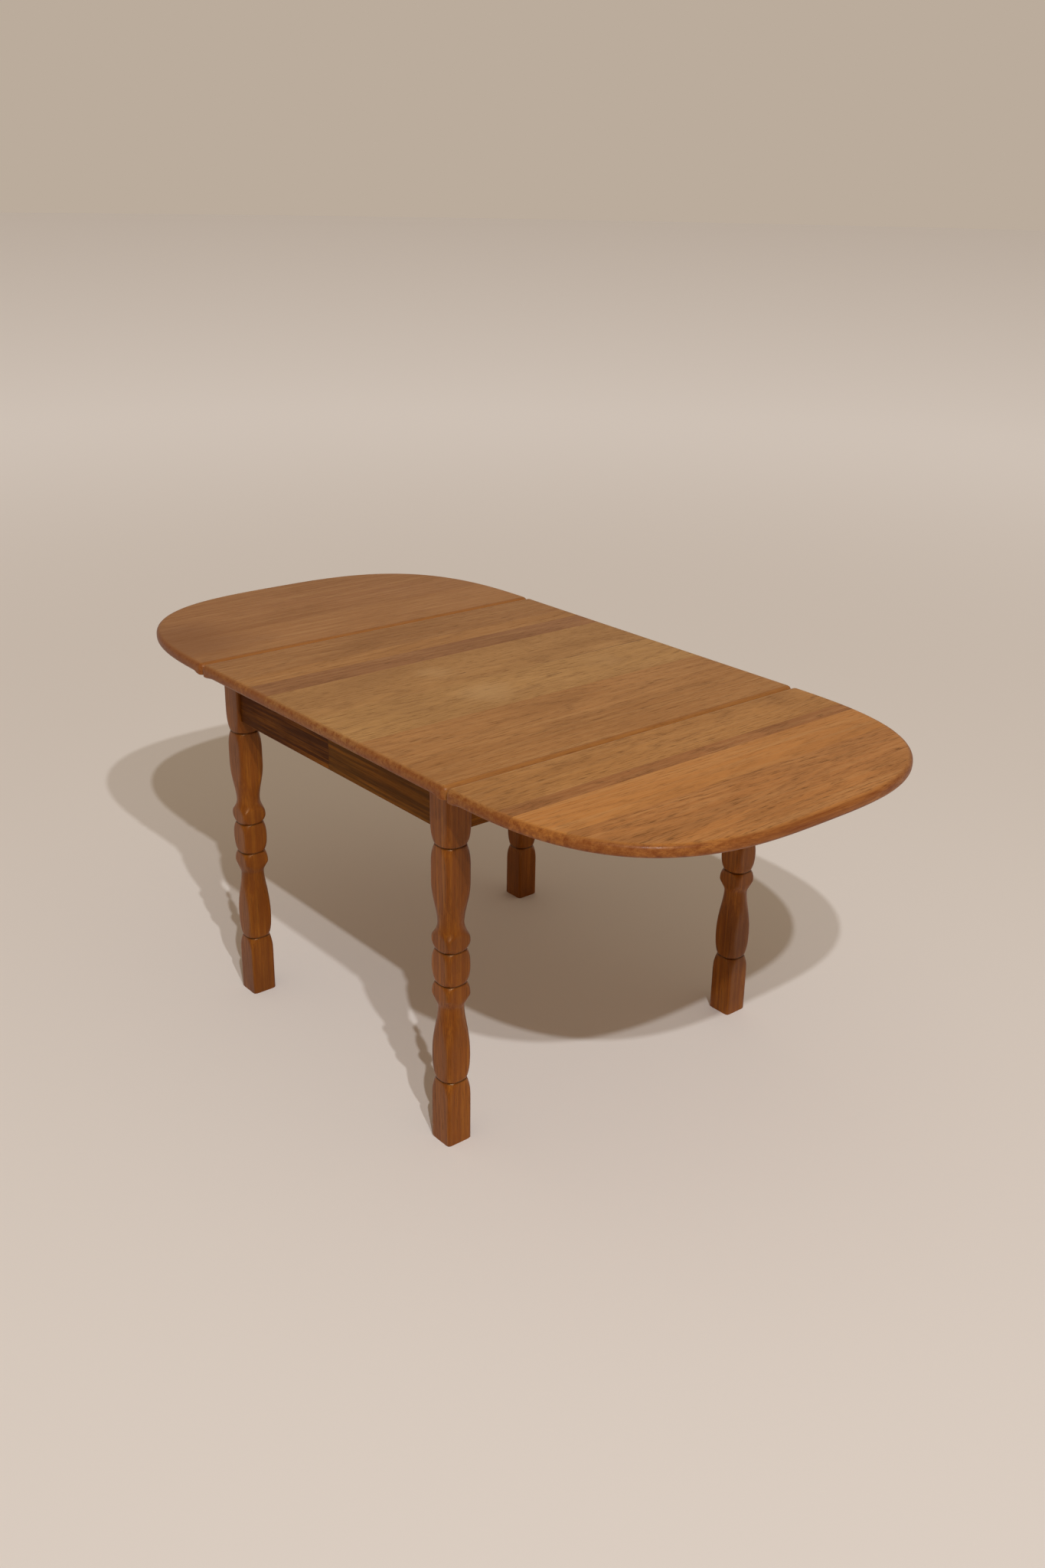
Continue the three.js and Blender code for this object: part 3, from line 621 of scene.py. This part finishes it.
def turnLeg(name, place):
    profile = legProfile()
    mesh = bpy.data.meshes.new(name)
    mesh.from_pydata([(0, 0, z * mm) for _, z in profile], [(i, i + 1) for i in range(len(profile) - 1)], [])
    # stain gathers in the grooves, and painted shade darkens them as well
    stainAndShade = [max(0.0, 1 - min(abs(z - g) for g in leg["grooves"]) / leg["grooveStainAndShadeReach"]) for _, z in profile]
    for mark, values in (("turning", [r * mm for r, _ in profile]), ("stainAndShadeShare", stainAndShade)):
        mesh.attributes.new(mark, "FLOAT", "POINT").data.foreach_set("value", values)
    return runTree(name, mesh, turnLegs, {
        "Sides": leg["sides"], "Place": [c * mm for c in place], "Finish": turnedLegOak})


def cutBoxes(obj, boxes):
    # takes square holes out of a piece, for good
    points, faces = [], []
    for low, high in boxes:
        base = len(points)
        for x in (low[0], high[0]):
            for y in (low[1], high[1]):
                for z in (low[2], high[2]):
                    points.append((x, y, z))
        faces += [tuple(base + i for i in face) for face in (
            (0, 1, 3, 2), (4, 6, 7, 5), (0, 4, 5, 1), (2, 3, 7, 6), (0, 2, 6, 4), (1, 5, 7, 3))]
    cutter = newPiece("cutter", points, faces, obj.data.materials[0])
    cut = obj.modifiers.new("mortises", "BOOLEAN")
    cut.operation, cut.solver, cut.object = "DIFFERENCE", "EXACT", cutter
    keepResult(obj, cut)
    bpy.data.objects.remove(cutter)


corners = (("back_right", 1, 1), ("back_left", -1, 1), ("front_left", -1, -1), ("front_right", 1, -1))
for corner, sx, sy in corners:
    cx, cy = sx * leg["centreX"], sy * leg["centreY"]
    piece = turnLeg(f"leg_{corner}_turned", (cx, cy, 0))
    hole, half = leg["mortise"], leg["side"] / 2
    lowZ, highZ = hole["middleZ"] - hole["height"] / 2, hole["middleZ"] + hole["height"] / 2
    boxes = []
    for turned in (False, True):
        # one mortise for the long apron, along X, and one for the end apron, along Y
        sign, other = (sy, sx) if turned else (sx, sy)
        centre, middle = (cy, cx) if turned else (cx, cy)
        middle += other * hole["fromAxis"]
        run = sorted((centre - sign * (half + 2), centre - sign * (half - hole["depth"])))
        wide = (middle - hole["width"] / 2, middle + hole["width"] / 2)
        low = (wide[0], run[0], lowZ) if turned else (run[0], wide[0], lowZ)
        high = (wide[1], run[1], highZ) if turned else (run[1], wide[1], highZ)
        boxes.append((low, high))
    # the two mortises meet inside the leg, so the second starts where the first ends
    cutBoxes(piece, boxes[:1])
    cutBoxes(piece, boxes[1:])
    piece.data.set_sharp_from_angle(angle=math.radians(55))
    mount(piece, "frame", "leg_oak", f"leg_{corner}")
print("legs turned")


# Aprons, rails, blocks, buttons and lopers: planed boards with eased arrises
easings = {"apron": 1.0, "rail": 0.8, "block": 1.2, "button": 1.0, "loper": 1.5, "rubbed": 0.3}


def easedCopy(node, name, easing, material, body="frame", slotName="inner_oak"):
    # the CAD board with its outer arrises planed off
    work = bmesh.new()
    work.from_mesh(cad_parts[node].data)
    bmesh.ops.remove_doubles(work, verts=work.verts, dist=0.00001)
    bmesh.ops.dissolve_limit(work, angle_limit=math.radians(0.5), verts=work.verts, edges=work.edges)
    outer = [e for e in work.edges if e.is_manifold and e.is_convex and e.calc_face_angle(0) > math.radians(30)]
    made = bmesh.ops.bevel(work, geom=outer, offset=easing * mm, segments=2, profile=0.5, affect="EDGES",
                           clamp_overlap=True)
    bevelled = set(made["faces"])
    for face in work.faces:
        face.smooth = face in bevelled
    worn = work.verts.layers.float.new("wearAndHighlight")
    for vert in work.verts:
        vert[worn] = easings["rubbed"] if all(face in bevelled for face in vert.link_faces) else 0.0
    mesh = bpy.data.meshes.new(name)
    work.to_mesh(mesh)
    work.free()
    mesh.materials.clear()
    mesh.materials.append(material)
    obj = bpy.data.objects.new(name, mesh)
    scene.collection.objects.link(obj)
    mount(obj, body, slotName, node)
    return obj


sides, ends = ("right", "left"), ("front", "back")
for side in ends + sides:
    easedCopy(f"apron_{side}", f"apron_{side}_board", easings["apron"],
              frontApronOak if side in ends else sideApronOak, slotName="frame_oak")
for side in sides:
    easedCopy(f"cross_rail_{side}", f"cross_rail_{side}_board", easings["rail"], bareOakAcross)
    easedCopy(f"top_button_{side}", f"top_button_{side}_block", easings["button"], bareOakAlong)
    for end in ends:
        block, loper = f"corner_block_{end}_{side}", f"loper_{side}_{end}"
        easedCopy(block, f"{block}_wedge", easings["block"], bareOakUpright)
        easedCopy(loper, f"{loper}_bar", easings["loper"], bareOakAlong, body=loper)
for end in ends:
    for i in (1, 2, 3):
        easedCopy(f"top_button_{end}_{i}", f"top_button_{end}_{i}_block", easings["button"], bareOakAcross)
print("frame boards and lopers made")


def turnedRod(name, low, high, radius, axis, centre, chamfer, sides, material):
    # a round rod with softened ends, along Y or Z
    rings, points = [], []
    for t in (0.0, 0.3, 0.7, 1.0):
        rings.append((low + chamfer * (1 - math.cos(t * math.pi / 2)) if t else low,
                      radius - chamfer * (1 - math.sin(t * math.pi / 2))))
    rings += [(low + high - along, r) for along, r in reversed(rings)]
    for along, r in rings:
        for i in range(sides):
            a, b = r * math.cos(2 * math.pi * i / sides), r * math.sin(2 * math.pi * i / sides)
            points.append((centre[0] + a, centre[1] + b, along) if axis == "Z"
                          else (centre[0] + b, along, centre[1] + a))
    return newPiece(name, points, ringFaces(len(rings), sides), material, sharpAngle=50)


# The pegs that stop each loper at the rail
stopPeg = {"radius": 4.95, "softening": 1.2, "sides": 24}
for side in sides:
    for end in ends:
        node = f"loper_stop_{side}_{end}"
        low, high = [[c / mm for c in corner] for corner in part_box(node)]
        centre = [(a + b) / 2 for a, b in zip(low, high)]
        rod = turnedRod(f"{node}_peg", low[2], high[2], stopPeg["radius"], "Z", centre,
                        stopPeg["softening"], stopPeg["sides"], turnedLegOak)
        mount(rod, f"loper_{side}_{end}", "leg_oak", node)
print("stop pegs made")

# Butterfly hinges: a short plate under the centre panel, a long one under the leaf, and a pin
hinge = {
    "length": 60, "thickness": 2, "knuckleRadius": 4, "boreRadius": 2, "knuckles": 5, "knuckleGap": 0.3,
    "fixedReach": 32, "leafReach": 52, "clear": 4.3, "pinX": 408, "pinZ": 708.3, "pinRadius": 1.7,
    "middles": (-300, 0, 300), "curlSteps": 20, "curlEnd": 372, "easing": 0.25,
    "pinChamfer": 0.5, "pinSides": 20,
}


def hingeHalf(name, reach, isFixed, side, middle):
    # a plate with its knuckles rolled from the same strip, at the table's right (1) or left (-1) joint
    sign = -side if isFixed else side  # the way the plate points along X
    half = hinge["length"] / 2
    pitch = hinge["length"] / hinge["knuckles"]
    cuts = [-half]
    for i in range(1, hinge["knuckles"]):
        cuts += [-half + i * pitch - hinge["knuckleGap"] / 2, -half + i * pitch + hinge["knuckleGap"] / 2]
    cuts.append(half)
    low, high = hinge["knuckleRadius"] - hinge["thickness"], hinge["knuckleRadius"]
    points, faces = [], []
    for x in (hinge["clear"], reach):
        for y in cuts:
            points += [(x, y, low), (x, y, high)]
    n = len(cuts)
    for i in range(n - 1):
        a, b, c, d = 2 * i, 2 * i + 2, 2 * (n + i), 2 * (n + i + 1)
        faces += [(a, b, d, c), (a + 1, c + 1, d + 1, b + 1), (c, d, d + 1, c + 1)]
        hasKnuckle = i % 2 == 0 and (i // 2 % 2 == 0) == isFixed
        if not hasKnuckle:
            faces.append((a, a + 1, b + 1, b))
            continue
        last = (a, a + 1, b + 1, b)
        for step in range(hinge["curlSteps"] + 1):
            turn = math.radians(90 + (hinge["curlEnd"] - 90) * step / hinge["curlSteps"])
            base = len(points)
            for y, radius in ((cuts[i], hinge["boreRadius"]), (cuts[i], hinge["knuckleRadius"]),
                              (cuts[i + 1], hinge["knuckleRadius"]), (cuts[i + 1], hinge["boreRadius"])):
                points.append((radius * math.cos(turn), y, radius * math.sin(turn)))
            fresh = (base, base + 1, base + 2, base + 3)
            faces += [(last[k], fresh[k], fresh[(k + 1) % 4], last[(k + 1) % 4]) for k in range(4)]
            last = fresh
        faces.append(last)
    faces += [(0, 2 * n, 2 * n + 1, 1), (2 * n - 2, 2 * n - 1, 4 * n - 1, 4 * n - 2)]
    placed = [(side * hinge["pinX"] + sign * x, middle + sign * y, hinge["pinZ"] + z) for x, y, z in points]
    obj = newPiece(name, placed, faces, platedSteel)
    shell = bmesh.new()
    shell.from_mesh(obj.data)
    bmesh.ops.recalc_face_normals(shell, faces=shell.faces)
    edges = [e for e in shell.edges if e.is_manifold and e.calc_face_angle(0) > math.radians(50)]
    bmesh.ops.bevel(shell, geom=edges, offset=hinge["easing"] * mm, segments=2, profile=0.5, affect="EDGES",
                    clamp_overlap=True)
    shell.to_mesh(obj.data)
    shell.free()
    obj.data.set_sharp_from_angle(angle=math.radians(40))
    return obj


for leafName, side in (("right", 1), ("left", -1)):
    for i, middle in enumerate(hinge["middles"], 1):
        node = f"hinge_{leafName}_{i}"
        fixed = hingeHalf(f"{node}_fixed_strip", hinge["fixedReach"], True, side, middle)
        mount(fixed, "frame", "hinge_steel", f"{node}_fixed_plate")
        moving = hingeHalf(f"{node}_leaf_strip", hinge["leafReach"], False, side, middle)
        mount(moving, f"{leafName}_leaf", "hinge_steel", f"{node}_leaf_plate")
        half = hinge["length"] / 2
        pinPlace = (side * hinge["pinX"], hinge["pinZ"])
        pin = turnedRod(f"{node}_pin_rod", middle - half, middle + half, hinge["pinRadius"], "Y", pinPlace,
                        hinge["pinChamfer"], hinge["pinSides"], platedSteel)
        mount(pin, "frame", "hinge_steel", f"{node}_pin")
print("hinges made")

# Slotted wood screws in the hinges, buttons and corner blocks
screw = {
    "headDiameter": 6.4, "headHeight": 0.7, "headChamfer": 0.8, "slotWidth": 0.9, "slotDepth": 0.5, "seed": 4,
    "sunk": 0.1, "fixedRows": ((-20, 9), (0, 14), (20, 9)), "leafRows": ((-20, 9), (0, 22), (20, 9)),
    "blockShares": (0.3, 0.7), "blockProud": 0.25,
}


def screwTree():
    tree = bpy.data.node_groups.new("slottedScrews", "GeometryNodeTree")
    tree.interface.new_socket("Places", in_out="INPUT", socket_type="NodeSocketGeometry")
    for label, value in (("Head diameter", screw["headDiameter"]), ("Head height", screw["headHeight"]),
                         ("Head chamfer", screw["headChamfer"]), ("Slot width", screw["slotWidth"]),
                         ("Slot depth", screw["slotDepth"])):
        socket = tree.interface.new_socket(label, in_out="INPUT", socket_type="NodeSocketFloat")
        socket.default_value = value * mm
    tree.interface.new_socket("Seed", in_out="INPUT", socket_type="NodeSocketInt").default_value = screw["seed"]
    tree.interface.new_socket("Finish", in_out="INPUT", socket_type="NodeSocketMaterial")
    tree.interface.new_socket("Screws", in_out="OUTPUT", socket_type="NodeSocketGeometry")
    given = addNode(tree, "NodeGroupInput")
    size = {s.name: s for s in given.outputs}
    radius = addNode(tree, "ShaderNodeMath", [size["Head diameter"], 0.5], operation="MULTIPLY")
    crownRadius = addNode(tree, "ShaderNodeMath", [radius, size["Head chamfer"]], operation="SUBTRACT")
    # an oval head: a short chamfered crown with a slot sawn across it
    crown = addNode(tree, "GeometryNodeMeshCone", {
        "Vertices": 24, "Side Segments": 2, "Radius Bottom": radius, "Radius Top": crownRadius,
        "Depth": size["Head height"]})
    slotDrop = addNode(tree, "ShaderNodeMath", [size["Head height"], size["Slot depth"]], operation="SUBTRACT")
    slotLift = addNode(tree, "ShaderNodeMath", [slotDrop, size["Head height"]], operation="ADD")
    sawHeight = addNode(tree, "ShaderNodeMath", [size["Head height"], 2.0], operation="MULTIPLY")
    slotSize = addNode(tree, "ShaderNodeCombineXYZ", [size["Head diameter"], size["Slot width"], sawHeight])
    saw = addNode(tree, "GeometryNodeTransform", {
        "Geometry": addNode(tree, "GeometryNodeMeshCube", {"Size": slotSize}),
        "Translation": addNode(tree, "ShaderNodeCombineXYZ", {"Z": slotLift}),
        "Scale": (1.4, 1.0, 1.0)})
    head = addNode(tree, "GeometryNodeMeshBoolean", {"Mesh 1": crown, "Mesh 2": saw}, operation="DIFFERENCE",
                   solver="EXACT")
    facing = addNode(tree, "GeometryNodeInputNamedAttribute", {"Name": "facing"}, data_type="FLOAT_VECTOR")
    upright = addNode(tree, "FunctionNodeAlignRotationToVector", {
        "Vector": facing.outputs["Attribute"]}, axis="Z")
    # every slot ends up at its own angle, up to half a turn
    spin = addNode(tree, "FunctionNodeRandomValue", {3: math.pi, "Seed": size["Seed"]}, data_type="FLOAT")
    spinWay = addNode(tree, "FunctionNodeEulerToRotation", [
        addNode(tree, "ShaderNodeCombineXYZ", {"Z": spin.outputs[1]})])
    turned = addNode(tree, "FunctionNodeRotateRotation", [upright, spinWay], rotation_space="LOCAL")
    placed = addNode(tree, "GeometryNodeInstanceOnPoints", {
        "Points": size["Places"], "Instance": head, "Rotation": turned})
    real = addNode(tree, "GeometryNodeRealizeInstances", {"Geometry": placed})
    finished = addNode(tree, "GeometryNodeSetMaterial", {"Geometry": real, "Material": size["Finish"]})
    addNode(tree, "NodeGroupOutput", {"Screws": finished})
    return tree


screws = screwTree()


def driveScrews(name, body, places):
    # places: point and the way the head faces, in millimetres
    mesh = bpy.data.meshes.new(name)
    mesh.from_pydata([[c * mm for c in point] for point, _ in places], [], [])
    facing = mesh.attributes.new("facing", "FLOAT_VECTOR", "POINT")
    facing.data.foreach_set("vector", [c for _, way in places for c in way])
    obj = runTree(name, mesh, screws, {
        "Head diameter": screw["headDiameter"] * mm, "Seed": screw["seed"], "Finish": screwSteel})
    obj.data.set_sharp_from_angle(angle=math.radians(25))
    mount(obj, body, "hinge_steel")


down = (0, 0, -1)
lift = screw["sunk"] - screw["headHeight"] / 2
plateUnder = hinge["pinZ"] + hinge["knuckleRadius"] - hinge["thickness"] + lift
framePlaces = []
for leafName, side in (("right", 1), ("left", -1)):
    leafPlaces = []
    for middle in hinge["middles"]:
        for dy, inset in screw["fixedRows"]:
            x = side * (hinge["pinX"] - hinge["fixedReach"] + inset)
            framePlaces.append(((x, middle + dy, plateUnder), down))
        for dy, inset in screw["leafRows"]:
            x = side * (hinge["pinX"] + hinge["leafReach"] - inset)
            leafPlaces.append(((x, middle + dy, plateUnder), down))
    driveScrews(f"hinge_screws_{leafName}_leaf", f"{leafName}_leaf", leafPlaces)
for node in [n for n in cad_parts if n.startswith("top_button_")]:
    low, high = [[c / mm for c in corner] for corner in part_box(node)]
    framePlaces.append((((low[0] + high[0]) / 2, (low[1] + high[1]) / 2, low[2] + lift), down))
for node in [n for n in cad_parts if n.startswith("corner_block_")]:
    # two screws into the middle of each block's slanting face, one above the other
    low, high = [[c / mm for c in corner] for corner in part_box(node)]
    way = [-math.copysign(math.sqrt(0.5), low[0]), -math.copysign(math.sqrt(0.5), low[1]), 0]
    x, y = ((low[i] + high[i]) / 2 + way[i] * screw["blockProud"] for i in (0, 1))
    for share in screw["blockShares"]:
        framePlaces.append(((x, y, low[2] + (high[2] - low[2]) * share), way))
driveScrews("frame_screws", "frame", framePlaces)
print("screws driven:", len(framePlaces), "in the frame")

# Floor, light and camera
stageLook = {
    "near": "#ddd4cb", "far": "#f4ebe2", "glow": 0.1, "glowFrom": 1.6, "glowTo": 9.0,
    "sky": "#bbac9c", "skyHigh": "#ab9c8a", "glowColour": "#daedff", "skyStrength": 1.0, "floorRadius": 60,
    "lampPower": 14.3, "lampRadius": 0.035, "lampColour": "#f3f8ff",
    "lamps": ((2.98, -1.4, 3.49), (2.82, -1.85, 3.63)),
}

bpy.ops.mesh.primitive_circle_add(vertices=96, radius=stageLook["floorRadius"], fill_type="NGON")
floor = bpy.context.object
floor.name = "floor"
# The floor gets paler and glows further from the table: painted light standing in for the lit backdrop
paper = bpy.data.materials.new("backdropPaperWithPaintedLight")
paper.use_nodes = True
tree = paper.node_tree
away = addNode(tree, "ShaderNodeVectorMath", [addNode(tree, "ShaderNodeTexCoord").outputs["Object"]],
               operation="LENGTH").outputs["Value"]
paintedBackdropLight = addNode(tree, "ShaderNodeMapRange", {
    "Value": away, "From Min": stageLook["glowFrom"], "From Max": stageLook["glowTo"]},
    interpolation_type="SMOOTHSTEP")
plug(tree, tree.nodes["Principled BSDF"], {
    "Base Color": addNode(tree, "ShaderNodeMix", {
        "Factor": paintedBackdropLight, "A": stageLook["near"], "B": stageLook["far"]}, data_type="RGBA"),
    "Emission Strength": addNode(tree, "ShaderNodeMath", [paintedBackdropLight, stageLook["glow"]], operation="MULTIPLY"),
    "Emission Color": stageLook["glowColour"], "Roughness": 0.9, "Specular IOR Level": 0.1})
floor.data.materials.append(paper)

sky = bpy.data.worlds.new("studio")
scene.world = sky
sky.use_nodes = True
tree = sky.node_tree
height = addNode(tree, "ShaderNodeSeparateXYZ", [addNode(tree, "ShaderNodeTexCoord").outputs["Generated"]])
rise = addNode(tree, "ShaderNodeMapRange", {"Value": height.outputs["Z"], "From Min": 0.1, "From Max": 0.6})
plug(tree, tree.nodes["Background"], {
    "Color": addNode(tree, "ShaderNodeMix", {
        "Factor": rise, "A": stageLook["sky"], "B": stageLook["skyHigh"]}, data_type="RGBA"),
    "Strength": stageLook["skyStrength"]})

for i, place in enumerate(stageLook["lamps"], 1):
    lamp = bpy.data.lights.new(f"lamp{i}", "POINT")
    lamp.energy = stageLook["lampPower"]
    lamp.shadow_soft_size = stageLook["lampRadius"]
    lamp.color = linear(stageLook["lampColour"])
    lamp.use_nodes = True  # an even wash: the light doesn't fade with distance
    even = addNode(lamp.node_tree, "ShaderNodeLightFalloff", {"Strength": 1.0}).outputs["Constant"]
    plug(lamp.node_tree, lamp.node_tree.nodes["Emission"], {"Strength": even})
    holder = bpy.data.objects.new(f"lamp{i}", lamp)
    holder.location = place
    scene.collection.objects.link(holder)

shot = {
    "place": (2.18382, -1.75965, 1.66155), "turn": (1.17882, -0.01624, 0.87773), "lens": 33.893, "sensor": 36}
lens = bpy.data.cameras.new("camera")
lens.lens = shot["lens"]
lens.sensor_width = shot["sensor"]
camera = bpy.data.objects.new("camera", lens)
camera.location = shot["place"]
camera.rotation_euler = shot["turn"]
scene.collection.objects.link(camera)
scene.camera = camera
print("stage set")
